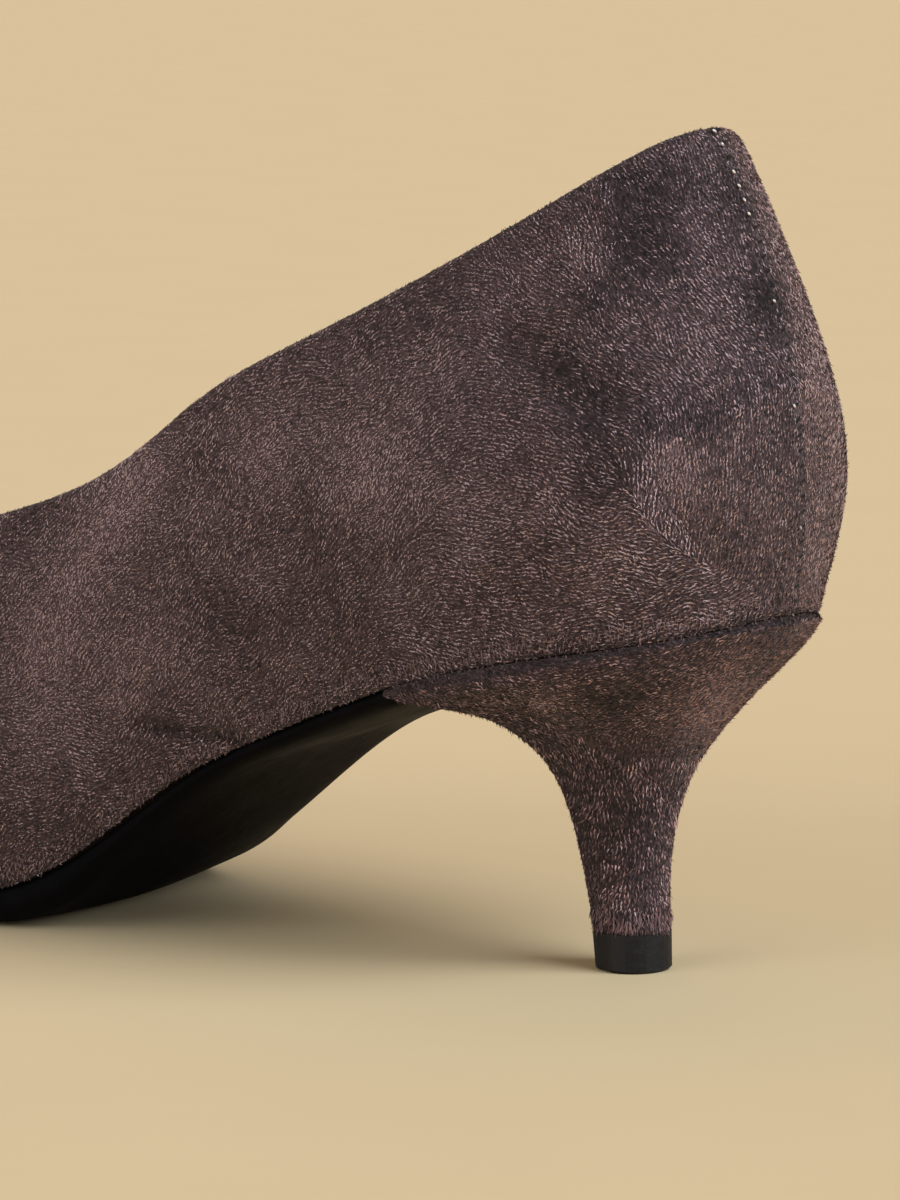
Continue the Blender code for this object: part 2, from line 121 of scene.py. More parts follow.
def light_studio():
    """Two wide soft lamps behind the heel, a weak low one at the side, and two low glows around."""
    scene = bpy.context.scene
    scene.view_settings.view_transform = "Standard"
    world = bpy.data.worlds.new("studio")
    scene.world = world
    world.use_nodes = True
    tree = world.node_tree
    both = tree.nodes.new("ShaderNodeAddShader")
    tree.links.new(both.outputs[0], tree.nodes["World Output"].inputs["Surface"])
    ways = tree.nodes.new("ShaderNodeTexCoord")
    for number, (around, strength, tint) in enumerate(GLOWS):
        glow = tree.nodes.new("ShaderNodeBackground")
        glow.inputs["Color"].default_value = (*tint, 1.0)
        facing = tree.nodes.new("ShaderNodeVectorMath")
        facing.operation = "DOT_PRODUCT"
        facing.inputs[1].default_value = from_side(around, GLOW_HEIGHT)
        bright = tree.nodes.new("ShaderNodeMapRange")
        bright.interpolation_type = "SMOOTHSTEP"
        bright.inputs["From Min"].default_value = GLOW_STARTS
        bright.inputs["To Min"].default_value = GLOW_ELSEWHERE
        bright.inputs["To Max"].default_value = strength
        tree.links.new(ways.outputs["Generated"], facing.inputs[0])
        tree.links.new(facing.outputs["Value"], bright.inputs["Value"])
        tree.links.new(bright.outputs["Result"], glow.inputs["Strength"])
        tree.links.new(glow.outputs[0], both.inputs[number])
    for name, around, above, share, wide, tint in LAMPS:
        lamp = bpy.data.lights.new(name, "SUN")
        lamp.energy = share * math.pi / math.sin(math.radians(above))
        lamp.angle = math.radians(wide)
        lamp.color = tint
        hung = bpy.data.objects.new(name, lamp)
        hung.rotation_mode = "QUATERNION"
        hung.rotation_quaternion = from_side(around, above).to_track_quat("Z", "Y")
        scene.collection.objects.link(hung)


# Materials

class Value:
    """The output of a node, with the arithmetic that adds the nodes it needs."""

    def __init__(self, finish, socket):
        self.finish = finish
        self.socket = socket

    def maths(self, operation, *values):
        return self.finish.node("ShaderNodeMath", {"operation": operation}, values)

    def __add__(self, other):
        return self.maths("ADD", self, other)

    __radd__ = __add__

    def __sub__(self, other):
        return self.maths("SUBTRACT", self, other)

    def __rsub__(self, other):
        return self.maths("SUBTRACT", other, self)

    def __mul__(self, other):
        return self.maths("MULTIPLY", self, other)

    __rmul__ = __mul__


class Finish:
    """A material whose pattern is written as expressions."""

    def __init__(self, name, **fixed):
        self.material = bpy.data.materials.new(name)
        self.material.use_nodes = True
        self.tree = self.material.node_tree
        self.shader = self.tree.nodes["Principled BSDF"]
        for socket, value in fixed.items():
            self.shader.inputs[socket.replace("_", " ")].default_value = value

    def node(self, kind, settings, values, output=0):
        """Adds a node: its settings first, then the values or links of its sockets."""
        made = self.tree.nodes.new(kind)
        for name, value in settings.items():
            setattr(made, name, value)
        pairs = values.items() if isinstance(values, dict) else enumerate(values)
        for key, value in pairs:
            if isinstance(value, Value):
                self.tree.links.new(value.socket, made.inputs[key])
            else:
                made.inputs[key].default_value = value
        return Value(self, made.outputs[output])

    def place(self):
        return self.node("ShaderNodeTexCoord", {}, {}, "Object")

    def attribute(self, name, output="Fac"):
        return self.node("ShaderNodeAttribute", {"attribute_name": name}, {}, output)

    def split(self, vector):
        """The three parts of a vector."""
        first = self.node("ShaderNodeSeparateXYZ", {}, [vector])
        return [Value(self, part) for part in first.socket.node.outputs]

    def turned(self, place, rotation, scale):
        """The place turned so that its first axis lies along the strokes, then scaled."""
        values = {"Vector": place, "Rotation": rotation}
        laid = self.node("ShaderNodeMapping", {"vector_type": "TEXTURE"}, values)
        return self.node("ShaderNodeVectorMath", {"operation": "MULTIPLY"}, [laid, scale])

    def noise(self, place, scale, detail=2.0, roughness=0.5, output="Fac"):
        values = {"Vector": place, "Scale": scale, "Detail": detail, "Roughness": roughness}
        return self.node("ShaderNodeTexNoise", {}, values, output)

    def warped(self, place, scale, reach):
        """The place pushed about by a slow noise, so that strokes swirl."""
        push = self.noise(place, scale, detail=1.0, output="Color")
        centred = self.node("ShaderNodeVectorMath", {"operation": "SUBTRACT"}, [push, (0.5, 0.5, 0.5)])
        moved = self.node("ShaderNodeVectorMath", {"operation": "SCALE"}, {0: centred, "Scale": reach})
        return self.node("ShaderNodeVectorMath", {"operation": "ADD"}, [place, moved])

    def between(self, value, low, high, to_low=0.0, to_high=1.0):
        """A smooth step of value, from low to high."""
        values = {"Value": value, 1: low, 2: high, 3: to_low, 4: to_high}
        return self.node("ShaderNodeMapRange", {"interpolation_type": "SMOOTHSTEP"}, values)

    def mixed(self, share, first, second):
        """One colour turning into another as share goes from 0 to 1."""
        return self.node("ShaderNodeMix", {"data_type": "RGBA"}, {0: share, 6: first, 7: second}, 2)

    def raised(self, height, depth, strength):
        """A bump of that depth in metres."""
        return self.node("ShaderNodeBump", {}, {"Strength": strength, "Distance": depth, "Height": height})

    def wear(self, **links):
        """Feeds the shader's varying sockets."""
        for socket, value in links.items():
            self.tree.links.new(value.socket, self.shader.inputs[socket.replace("_", " ")])
        return self.material


# Tones of the suede: deep in its nap, dark as painted shade between the strokes, and at its tips, lighter
# as their lit tops, each where it is cool and where it is warm. Tones of single fibres, from dark to
# light: the darkest, near black, is painted shade between the fibres, and the lightest is painted glints.
# The tints are for places warmed as painted warm light, and for the heel.

SHADED_DEEP_TONES = paint(18, 12, 15), paint(20, 14, 15)
TIP_TONES = paint(86, 69, 74), paint(92, 73, 74)
FIBRE_TONES = ((6, 4, 5), (46, 38, 42), (126, 106, 113), (186, 164, 172))
WARMER = (1.04, 0.98, 0.91)
REDDER = (1.01, 0.97, 0.96)

# The ways in which strokes in the skin can lie, in degrees up from the heel's way

LAY_ANGLES = (0, 60, 120)


def suede(name, coarse=1.0):
    """Suede: short strokes of nap that follow the combing, painted dark deep between the strokes and
    lighter on their tops, and lighter or darker in patches of brushing and of painted light and shade.
    """
    finish = Finish(name, Roughness=0.92, Sheen_Weight=0.15, Sheen_Roughness=0.5, Specular_IOR_Level=0.18)
    place = finish.place()
    swirl = finish.warped(place, 300.0, 0.8 * MM)
    strokes = 0.0
    for angle, share in zip(LAY_ANGLES, finish.split(finish.attribute("lay_shares", "Vector"))):
        laid = finish.turned(swirl, (0.0, math.radians(-angle), 0.0), (0.36, 1.0, 1.0))
        strokes = (finish.noise(laid, 2300.0 / coarse, detail=1.0) - 0.5) * share + strokes
    loose = finish.noise(place, 2900.0 / coarse, detail=1.0) - 0.5
    cloud = finish.noise(place, 42.0, detail=3.0, roughness=0.55) - 0.5
    height = strokes * 0.78 + loose * 0.45 + 0.5
    # Painted light and shade: darker deep between the strokes and lighter on their tops, also following
    # the nap's brushing and its painted light and shade.
    light = finish.between(height * 1.5 + finish.attribute("brushed_and_lit") * 0.9 + cloud * 0.15, 0.45, 2.0)
    warm = finish.attribute("warm")
    colour = finish.mixed(light, finish.mixed(warm, *SHADED_DEEP_TONES), finish.mixed(warm, *TIP_TONES))
    return finish.wear(Base_Color=colour, Normal=finish.raised(height, 0.22 * MM * coarse, 0.9))


def fibre_finishes(name, *tints):
    """Plain finishes for single fibres, from the darkest to the lightest, each tinted."""
    made = []
    for number, tone in enumerate(FIBRE_TONES):
        tinted = paint(*np.prod([tone, *tints], axis=0))
        fixed = {"Roughness": 0.7, "Sheen_Weight": 0.1, "Specular_IOR_Level": 0.3}
        made.append(Finish(f"{name}_{number}", Base_Color=tinted, **fixed).material)
    return made


def sock_leather(name, base, shade, painted_shade_edge=False):
    """Smooth lining leather with fine pores and a little polish. Its faces that do not face up, such as
    the edge seen in the gap under the upper, may be painted near black as shade.
    """
    finish = Finish(name, Sheen_Weight=0.05, Specular_IOR_Level=0.35)
    place = finish.place()
    pores = finish.node("ShaderNodeTexVoronoi", {}, {"Vector": place, "Scale": 1500.0}, "Distance")
    cloud = finish.noise(place, 60.0, detail=4.0, roughness=0.6)
    grain = finish.noise(place, 2600.0, detail=3.0, roughness=0.6)
    colour = finish.mixed(finish.between(cloud, 0.35, 0.7), paint(*base), paint(*shade))
    if painted_shade_edge:
        # Painted shade: faces that do not face up turn near black.
        faces_up = finish.split(finish.node("ShaderNodeNewGeometry", {}, {}, "True Normal"))[2]
        colour = finish.mixed(finish.between(faces_up, 0.3, 0.6), paint(14, 12, 12), colour)
    rough = finish.between(cloud, 0.3, 0.7, 0.5, 0.62)
    height = pores * 0.6 + grain * 0.4
    return finish.wear(Base_Color=colour, Roughness=rough, Normal=finish.raised(height, 0.05 * MM, 0.6))


def sole_black():
    """Black moulded sole: satin, faintly pebbled, with rubbed places and pale specks of dust."""
    finish = Finish("black_sole", Specular_IOR_Level=0.02)
    place = finish.place()
    pebble = finish.noise(place, 1900.0)
    rubbed = finish.noise(place, 90.0, detail=5.0, roughness=0.65)
    drawn_out = finish.turned(place, (0.0, 0.0, 0.0), (0.3, 1.0, 1.0))
    streak = finish.noise(drawn_out, 700.0, detail=3.0, roughness=0.6)
    dust = finish.noise(place, 620.0, detail=1.0, roughness=0.4)
    colour = finish.mixed(finish.between(rubbed, 0.45, 0.75), paint(11, 11, 14), paint(19, 18, 22))
    colour = finish.mixed(finish.between(dust, 0.80, 0.86), colour, paint(120, 112, 105))
    rough = finish.between(rubbed * 0.7 + streak * 0.3, 0.3, 0.7, 0.5, 0.66)
    height = pebble * 0.6 + streak * 0.4
    return finish.wear(Base_Color=colour, Roughness=rough, Normal=finish.raised(height, 0.05 * MM, 0.5))


def tip_black():
    """The hard wearing tip of the heel: matt, dark grey, slightly scraped."""
    finish = Finish("tip_black", Specular_IOR_Level=0.3)
    place = finish.place()
    drawn_out = finish.turned(place, (0.0, 0.0, 0.0), (1.0, 1.0, 2.0))
    scrape = finish.noise(drawn_out, 900.0, detail=4.0, roughness=0.65)
    grain = finish.noise(place, 3200.0)
    colour = finish.mixed(finish.between(scrape, 0.42, 0.72), paint(12, 11, 14), paint(24, 23, 27))
    rough = finish.between(scrape, 0.3, 0.7, 0.46, 0.66)
    height = scrape * 0.6 + grain * 0.4
    return finish.wear(Base_Color=colour, Roughness=rough, Normal=finish.raised(height, 0.08 * MM, 0.6))


def painted_thread_highlight():
    """Painted highlight: thread coloured near white, a little uneven, for the loops that catch the light.
    """
    finish = Finish("painted_thread_highlight", Roughness=0.35)
    uneven = finish.between(finish.noise(finish.place(), 3000.0), 0.4, 0.6)
    return finish.wear(Base_Color=finish.mixed(uneven, paint(150, 138, 136), paint(232, 226, 220)))


def floor_paper():
    """Plain studio paper."""
    finish = Finish("studio_paper", Roughness=0.9, Specular_IOR_Level=0.0)
    mottle = finish.between(finish.noise(finish.place(), 30.0, detail=3.0), 0.3, 0.7)
    return finish.wear(Base_Color=finish.mixed(mottle, paint(210.5, 193, 157), paint(211.5, 194, 158)))


# Shapes taken from the CAD solids. Angles are in degrees.

MERGE_REACH = 0.002 * MM
FLAT_PAIR, SQUARE_PAIR = 40, 70
CREASE_SHARE = 0.8


def merged(node):
    """A CAD solid with its loose triangles merged and paired into quads, as a bmesh."""
    form = bmesh.new()
    form.from_mesh(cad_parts[node].data)
    bmesh.ops.remove_doubles(form, verts=form.verts, dist=MERGE_REACH)
    flat, square = math.radians(FLAT_PAIR), math.radians(SQUARE_PAIR)
    bmesh.ops.join_triangles(
        form, faces=form.faces, angle_face_threshold=flat, angle_shape_threshold=square,
    )
    return form


def hemmed(form, faces):
    """Marks the faces' corners, so that the fringe of nap along an edge finds them after smoothing."""
    hem = form.verts.layers.float.new("hem")
    for face in faces:
        for corner in face.verts:
            corner[hem] = 1.0


def creased(form, angle, only_below=False):
    """Marks the edges that turn by more than angle, so that smoothing keeps them."""
    crease = form.edges.layers.float.new("crease_edge")
    for edge in form.edges:
        if len(edge.link_faces) != 2 or edge.calc_face_angle() < math.radians(angle):
            continue
        looks_up = sum(face.normal.z for face in edge.link_faces) / 2
        if not only_below or looks_up < 0.1:
            edge[crease] = CREASE_SHARE


def wall_from(form, start, way, edge_angle=32):
    """The faces of the wall that is met from start, as far as its edges, where it turns sharply."""
    form.faces.ensure_lookup_table()
    met = BVHTree.FromBMesh(form).ray_cast(start, way)[2]
    wall, waiting = set(), [form.faces[met]]
    while waiting:
        face = waiting.pop()
        if face in wall:
            continue
        wall.add(face)
        for edge in face.edges:
            if len(edge.link_faces) == 2 and edge.calc_face_angle() < math.radians(edge_angle):
                waiting.extend(edge.link_faces)
    return wall


def smoothed(form, name, levels, *materials):
    """The form as a piece, subdivided and with its modifiers applied."""
    rough_mesh = bpy.data.meshes.new(f"{name}_rough")
    form.to_mesh(rough_mesh)
    form.free()
    for material in materials:
        rough_mesh.materials.append(material)
    helper = bpy.data.objects.new(f"{name}_rough", rough_mesh)
    bpy.context.scene.collection.objects.link(helper)
    divide = helper.modifiers.new("smooth", "SUBSURF")
    divide.levels = levels
    divide.render_levels = levels
    seen = helper.evaluated_get(bpy.context.evaluated_depsgraph_get())
    mesh = bpy.data.meshes.new_from_object(seen)
    bpy.data.objects.remove(helper)
    mesh.name = name
    return shown(mesh, name)


def shown(mesh, name, *materials):
    """Puts a mesh in the scene as a piece that rides on the shoe."""
    piece = bpy.data.objects.new(name, mesh)
    bpy.context.scene.collection.objects.link(piece)
    for material in materials:
        mesh.materials.append(material)
    for face in mesh.polygons:
        face.use_smooth = True
    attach(piece, "root")
    return piece


def skin_of(mesh):
    """The corners of a mesh and the smooth ways out at them."""
    places = np.zeros(len(mesh.vertices) * 3, np.float32)
    mesh.vertices.foreach_get("co", places)
    outs = np.zeros(len(mesh.vertices) * 3, np.float32)
    mesh.vertex_normals.foreach_get("vector", outs)
    return places.reshape(-1, 3).astype(float), outs.reshape(-1, 3).astype(float)


def outer_faces(piece):
    """Which faces of a piece are covered in nap."""
    mesh = piece.data
    index = np.zeros(len(mesh.polygons), np.int32)
    mesh.polygons.foreach_get("material_index", index)
    return index == 0


def hem_faces(piece, low=-1.0, high=1.0):
    """Which faces of a piece lie along its marked edge, between two heights in metres."""
    mesh = piece.data
    marks = np.zeros(len(mesh.vertices), np.float32)
    mesh.attributes["hem"].data.foreach_get("value", marks)
    heights = np.array([corner.co.z for corner in mesh.vertices])
    found = np.zeros(len(mesh.polygons), bool)
    for number, face in enumerate(mesh.polygons):
        corners = list(face.vertices)
        if marks[corners].mean() > 0.3 and low < heights[corners].mean() < high:
            found[number] = True
    return found & outer_faces(piece)


# Folds of the upper, in mm: one end (along, height), other end, side (-1 near, 1 far), depth (under 0 for
# a ridge) and reach

FOLDS = (
    ((46.5, 29.3), (60.5, 28.0), -1, 0.80, 1.3),
    ((45.0, 61.0), (37.0, 47.0), -1, -0.45, 3.5),
    ((52.0, 60.0), (44.0, 44.0), -1, 0.22, 4.0),
    ((57.0, 50.0), (66.0, 38.0), -1, 0.28, 4.0),
    ((100.0, 80.0), (112.0, 74.0), -1, 0.60, 3.0),
    ((113.0, 73.0), (112.5, 62.0), -1, 0.25, 3.0),
    ((112.5, 99.0), (113.0, 90.0), -1, 0.50, 3.0),
    ((118.0, 100.0), (119.5, 84.0), -1, -0.25, 3.0),
    ((119.0, 66.0), (120.5, 62.0), -1, -0.25, 4.0),
    ((84.0, 62.0), (98.0, 56.0), -1, -0.30, 6.0),
    ((60.0, 46.0), (74.0, 38.0), 1, 0.40, 4.0),
    ((103.0, 76.0), (113.0, 66.0), 1, 0.45, 4.0),
    ((40.0, 52.0), (30.0, 38.0), 1, -0.35, 4.0),
)
SEAT_CENTRE = 85 * MM


def fold_depth(points):
    """How deep the folds are at each point, in mm: over 0 in a trough and under 0 on a ridge."""
    flat = points[:, (0, 2)] / MM
    depths = np.zeros(len(points))
    for start, end, side, depth, reach in FOLDS:
        way = np.array(end) - start
        share = np.clip((flat - start) @ way / (way @ way), 0, 1)
        away = np.linalg.norm(flat - start - share[:, None] * way, axis=1) / reach
        depths += depth * np.exp(-(away**2)) * (points[:, 1] * side > 0)
    return depths


def press_folds(piece):
    """The soft troughs and ridges of a worn upper, in both of its walls."""
    points, _ = skin_of(piece.data)
    to_the_seat = np.minimum(SEAT_CENTRE - points[:, 0], 0)
    inwards = np.stack([to_the_seat, -points[:, 1], np.zeros(len(points))], 1)
    points += unit(inwards) * fold_depth(points)[:, None] * MM
    piece.data.vertices.foreach_set("co", points.astype(np.float32).ravel())
    piece.data.update()


# How the nap lies, in the shoe's own sizes, in mm: centre, reach, how much lighter or darker

# The patches are partly brushing of the nap and partly painted light and shade: lighter where light falls
# on the upper, darker where it is shaded.
DARK_PATCHES = (
    ((112.5, -13.0, 98.0), 5.0, -0.12),
    ((113.0, -15.0, 91.5), 4.5, -0.14),
    ((118.5, -3.0, 97.5), 4.0, -0.16),
    ((109.5, -21.0, 86.0), 4.0, -0.15),
    ((119.0, -20.5, 72.5), 3.5, -0.16),
    ((117.0, -24.0, 66.5), 3.5, -0.20),
    ((122.9, -2.3, 84.9), 6.0, -0.32),
    ((107.0, -24.0, 77.5), 4.0, -0.10),
    ((111.5, -23.0, 75.5), 4.5, -0.06),
    ((114.1, -24.9, 64.3), 4.0, -0.10),
    ((108.5, -17.0, 35.0), 6.0, -0.16),
    ((104.0, -6.0, 20.0), 13.0, -0.12),
    ((108.5, -14.0, 98.5), 4.0, -0.16),
    ((118.9, -3.0, 94.4), 6.0, -0.14),
    ((118.5, -12.5, 85.5), 4.0, -0.12),
    ((121.9, -15.5, 71.3), 4.0, -0.18),
    ((96.0, -12.0, 32.0), 7.0, -0.08),
    ((49.0, -29.7, 26.0), 4.0, -0.05),
    ((34.0, -32.5, 18.0), 8.0, -0.06),
    ((29.0, -30.5, 56.0), 4.0, -0.14),
    ((-20.0, -34.0, 22.0), 14.0, -0.10),
    ((-70.0, -24.0, 22.0), 16.0, -0.08),
    ((-96.0, 8.0, 26.0), 14.0, -0.08),
    ((60.0, 30.0, 44.0), 15.0, -0.12),
    ((100.0, 24.0, 70.0), 12.0, -0.12),
    ((0.0, 34.0, 28.0), 15.0, -0.10),
)

LIGHT_PATCHES = (
    ((36.0, -32.0, 45.0), 12.0, 0.18),
    ((50.0, -31.0, 40.0), 7.0, 0.14),
    ((44.0, -31.0, 33.0), 6.0, 0.16),
    ((96.0, -23.0, 85.0), 7.0, 0.08),
    ((88.0, -30.0, 46.5), 6.0, 0.08),
    ((45.0, -30.0, 60.0), 10.0, 0.28),
    ((42.0, -31.5, 51.0), 7.0, 0.08),
    ((32.0, -33.0, 40.0), 8.0, 0.16),
    ((108.0, -27.0, 63.5), 5.0, 0.08),
    ((112.0, -25.0, 51.5), 6.0, 0.12),
    ((103.0, -19.5, 34.5), 5.0, 0.16),
    ((69.0, -30.5, 36.5), 6.0, 0.18),
    ((119.0, -6.0, 41.0), 5.0, 0.22),
    ((125.0, -8.0, 60.0), 4.0, 0.10),
    ((57.0, -31.0, 52.0), 8.0, 0.15),
    ((66.0, -30.0, 65.0), 9.0, 0.27),
    ((67.0, -31.0, 49.5), 5.0, 0.14),
    ((82.0, -30.0, 64.0), 9.0, 0.22),
    ((90.0, -28.0, 74.0), 10.0, 0.10),
    ((99.0, -28.0, 61.0), 5.0, 0.14),
    ((106.0, -20.0, 91.0), 4.0, 0.15),
    ((60.0, -30.5, 31.0), 8.0, 0.16),
    ((32.0, -33.0, 30.0), 9.0, 0.18),
    ((120.5, -13.5, 80.5), 5.0, 0.08),
    ((121.0, -18.5, 64.5), 5.0, 0.18),
    ((116.0, -23.3, 56.5), 5.0, 0.10),
    ((127.0, 2.0, 52.0), 10.0, 0.08),
    ((116.0, -4.0, 33.0), 7.0, 0.42),
    ((107.0, -1.5, 9.0), 4.0, 0.10),
    ((-50.0, -30.0, 34.0), 16.0, 0.10),
    ((-100.0, -12.0, 22.0), 14.0, 0.08),
    ((-40.0, 30.0, 30.0), 16.0, 0.10),
    ((80.0, 29.0, 60.0), 14.0, 0.12),
)
# Past the seam the nap is lighter, partly by its own lay and partly as painted sheen where the back turns
# away. In the folds it is painted darker as shade in the troughs and lighter as light on the ridges.
USUAL_TONE = 0.53
LIGHTER_PAST_SEAM = 0.08
PAINTED_FOLD_LIGHT_AND_SHADE = 0.25
PATCH_FADING = 1.6
TONE_WANDER = 0.03
WAVES_SUMMED, WAVES_HEIGHT = 7, 3.2


def waves(points, length, seed):
    """A smooth wandering value, about from -1 to 1, that repeats itself every few lengths in mm."""
    chance = np.random.default_rng(seed)
    total = np.zeros(len(points))
    for _ in range(WAVES_SUMMED):
        way = chance.normal(size=3)
        way *= 2 * math.pi / (length * MM) / np.linalg.norm(way) * chance.uniform(0.6, 1.5)
        total += np.sin(points @ way + chance.uniform(0, 2 * math.pi))
    return total / WAVES_HEIGHT


def past_the_seam(points):
    """From 0 to 1 on the strip of the back that lies beyond the row of stitches."""
    along, across, _ = points.T / MM
    return ramp(across, -0.6, 0.9) * ramp(across, 16, 10) * ramp(along, 100, 110)


def nap_tone(points):
    """How light the nap is at each point, from 0 to 1: its brushing, with painted light and shade in
    patches, in the folds and past the seam.
    """
    tone = USUAL_TONE + LIGHTER_PAST_SEAM * past_the_seam(points) - PAINTED_FOLD_LIGHT_AND_SHADE * fold_depth(points)
    for centre, reach, change in DARK_PATCHES + LIGHT_PATCHES:
        away = np.linalg.norm(points - np.array(centre) * MM, axis=1) / (reach * MM)
        tone += change * np.exp(-(away**2) * PATCH_FADING)
    tone += TONE_WANDER * waves(points, 26.0, 5)
    tone += TONE_WANDER * waves(points, 9.0, 6)
    return np.clip(tone, 0, 1)


def warmth_and_warm_light(points):
    """How far the suede takes its warm tints, from 0 to 1: a little at random, and as painted warm light,
    bounced from the floor towards the sole, on the back and the heel, and as sheen past the seam.
    """
    along, _, height = points.T / MM
    warmth = 0.06 + 0.06 * waves(points, 20.0, 9)
    warmth += 0.2 * ramp(height, 46, 16)
    warmth += 0.7 * ramp(along, 118, 128) * ramp(height, 80, 40)
    warmth += 0.3 * ramp(along, 95, 110)
    warmth += 0.8 * past_the_seam(points)
    return np.clip(warmth, 0, 1)


# How the nap is combed: place along the shoe, height, reach in mm, angle up from the heel's way

COMBING = (
    (43, 50, 18, 43), (84, 63, 9, 50), (75, 76, 9, 25), (107, 57, 11, -14), (110, 92, 10, -55),
    (116, 79, 7, -25), (101, 84, 6, -12), (108, 43, 9, 2), (62, 30, 10, 25), (40, 16, 8, 30),
    (34, 25, 7, -5), (126, 66, 9, 88), (103, 38, 5, 3), (92, 34, 6, -34), (105, 15, 14, -86),
    (-20, 34, 25, 20), (-80, 25, 30, 10), (-112, 20, 20, 50),
)
UNCOMBED = (0.01, 0.05)
SWIRL, FINE_SWIRL = 0.30, 0.26


def comb_angles(spots):
    """The angle at which the nap is combed at each spot, with swirls where the brush went."""
    along, _, height = spots.T / MM
    level, slant = (np.full(len(spots), share) for share in UNCOMBED)
    for centre, rise, reach, angle in COMBING:
        weight = np.exp(-((along - centre) ** 2 + (height - rise) ** 2) / reach**2)
        level += weight * math.cos(2 * math.radians(angle))
        slant += weight * math.sin(2 * math.radians(angle))
    swirls = SWIRL * waves(spots, 11.0, 11) + FINE_SWIRL * waves(spots, 4.0, 12)
    return np.arctan2(slant, level) / 2 + swirls


def in_the_skin(ways, out):
    """The ways laid flat into the skin, whose way out is given."""
    return unit(ways - out * (ways * out).sum(1, keepdims=True))


def combed(spots, out):
    """The way that the nap lies at each spot, in the skin."""
    angles = comb_angles(spots)
    return in_the_skin(np.stack([np.cos(angles), np.zeros(len(spots)), np.sin(angles)], 1), out)


def mark_nap(piece):
    """Keeps on the mesh, for the suede to read, how light the nap is with its painted light and shade, how
    far it takes the warm tints, and how it is combed.
    """
    mesh = piece.data
    points, _ = skin_of(mesh)
    for name, values in (("brushed_and_lit", nap_tone(points)), ("warm", warmth_and_warm_light(points))):
        layer = mesh.attributes.new(name, "FLOAT", "POINT")
        layer.data.foreach_set("value", values.astype(np.float32))
    angles = comb_angles(points)
    agreement = [np.cos(2 * (angles - math.radians(angle))) for angle in LAY_ANGLES]
    shares = np.clip(np.stack(agreement, 1), 0, 1)
    layer = mesh.attributes.new("lay_shares", "FLOAT_VECTOR", "POINT")
    layer.data.foreach_set("vector", unit(shares).astype(np.float32).ravel())


# Single fibres of nap. Their lengths are in mm and their angles in radians. The even steps spread points
# without clumps. The tone steps part the four tones of fibre.

EVEN_STEPS = (0.7548777, 0.5698403)
STEP_JITTER = 0.12
FIBRE_WIDTH = 0.22
ROOT_DEPTH = 0.03
BARE_REACH = 0.42
UNRULY = 0.22
UNEVEN_TONE = 0.08
TONE_STEPS = (0.42, 0.55, 0.74)

# Ridges of nap: sums of waves, of which those that fit the spacing and run along the lay count most

RIDGES_APART = 0.50
RIDGE_LIFT = 0.35
RIDGE_SEED = 77
RIDGE_WAVES = 64
OFF_PACE, OFF_LAY = 0.25, 0.35


def skin_samples(mesh, faces, count, chance):
    """Points spread evenly over the chosen faces, with the smooth way out at each."""
    mesh.calc_loop_triangles()
    corners = np.zeros(len(mesh.loop_triangles) * 3, np.int32)
    mesh.loop_triangles.foreach_get("vertices", corners)
    owners = np.zeros(len(mesh.loop_triangles), np.int32)
    mesh.loop_triangles.foreach_get("polygon_index", owners)
    corners = corners.reshape(-1, 3)[faces[owners]]
    places, outs = skin_of(mesh)
    a, b, c = (places[corners[:, i]] for i in range(3))
    reached = np.cumsum(np.linalg.norm(np.cross(b - a, c - a), axis=1))
    steps = np.arange(count)
    chosen = np.searchsorted(reached, (steps + chance.random(count)) / count * reached[-1])
    chosen = np.minimum(chosen, len(reached) - 1)
    u = np.sqrt((steps * EVEN_STEPS[0] + chance.uniform(0, STEP_JITTER, count)) % 1)
    v = (steps * EVEN_STEPS[1] + chance.uniform(0, STEP_JITTER, count)) % 1
    shares = np.stack([1 - u, u * (1 - v), u * v], 1)[:, :, None]
    spots = (places[corners[chosen]] * shares).sum(1)
    out = (outs[corners[chosen]] * shares).sum(1)
    return spots, out / np.linalg.norm(out, axis=1, keepdims=True)


def turn_about(vectors, axes, angles):
    """Each vector turned about its own axis."""
    c, s = np.cos(angles)[:, None], np.sin(angles)[:, None]
    along = (vectors * axes).sum(1, keepdims=True)
    return vectors * c + np.cross(axes, vectors) * s + axes * along * (1 - c)


def streaks(spots, out, lay):
    """A value that runs along the lay of the nap in fine ridges, about 1 on them and -1 between them."""
    chance = np.random.default_rng(RIDGE_SEED)
    side = np.cross(out, lay)
    pace = 2 * math.pi / (RIDGES_APART * MM)
    total, power = np.zeros(len(spots)), np.full(len(spots), 0.01)
    for _ in range(RIDGE_WAVES):
        way = chance.normal(size=3)
        way *= pace / np.linalg.norm(way) * chance.uniform(0.95, 1.45)
        across, along = np.abs(side @ way) / pace, lay @ way / pace
        strength = np.exp(-(((across - 1) / OFF_PACE) ** 2) - (along / OFF_LAY) ** 2)
        total += strength * np.sin(spots @ way + chance.uniform(0, 2 * math.pi))
        power += strength**2 / 2
    return total / np.sqrt(power)


def fibre_corners(spots, out, lay, ridge, length, lift, chance):
    """The two corners at the root of each fibre and the one at its tip."""
    each = len(spots), 1
    lay = turn_about(lay, out, chance.normal(0, UNRULY, len(spots)))
    side = turn_about(np.cross(out, lay), lay, chance.uniform(-1.0, 1.0, len(spots)))
    long = length * MM * chance.uniform(0.55, 1.35, each)
    wide = FIBRE_WIDTH * MM * chance.uniform(0.6, 1.3, each)
    high = lift * MM * chance.uniform(0.1, 1.0, each) * chance.choice([1, 1, 1, 2.4], each)
    high *= 1 + RIDGE_LIFT * np.clip(ridge, -2, 2)[:, None]
    root = spots - out * ROOT_DEPTH * MM
    return np.stack([root - side * wide / 2, root + side * wide / 2, root + lay * long + out * high], 1)


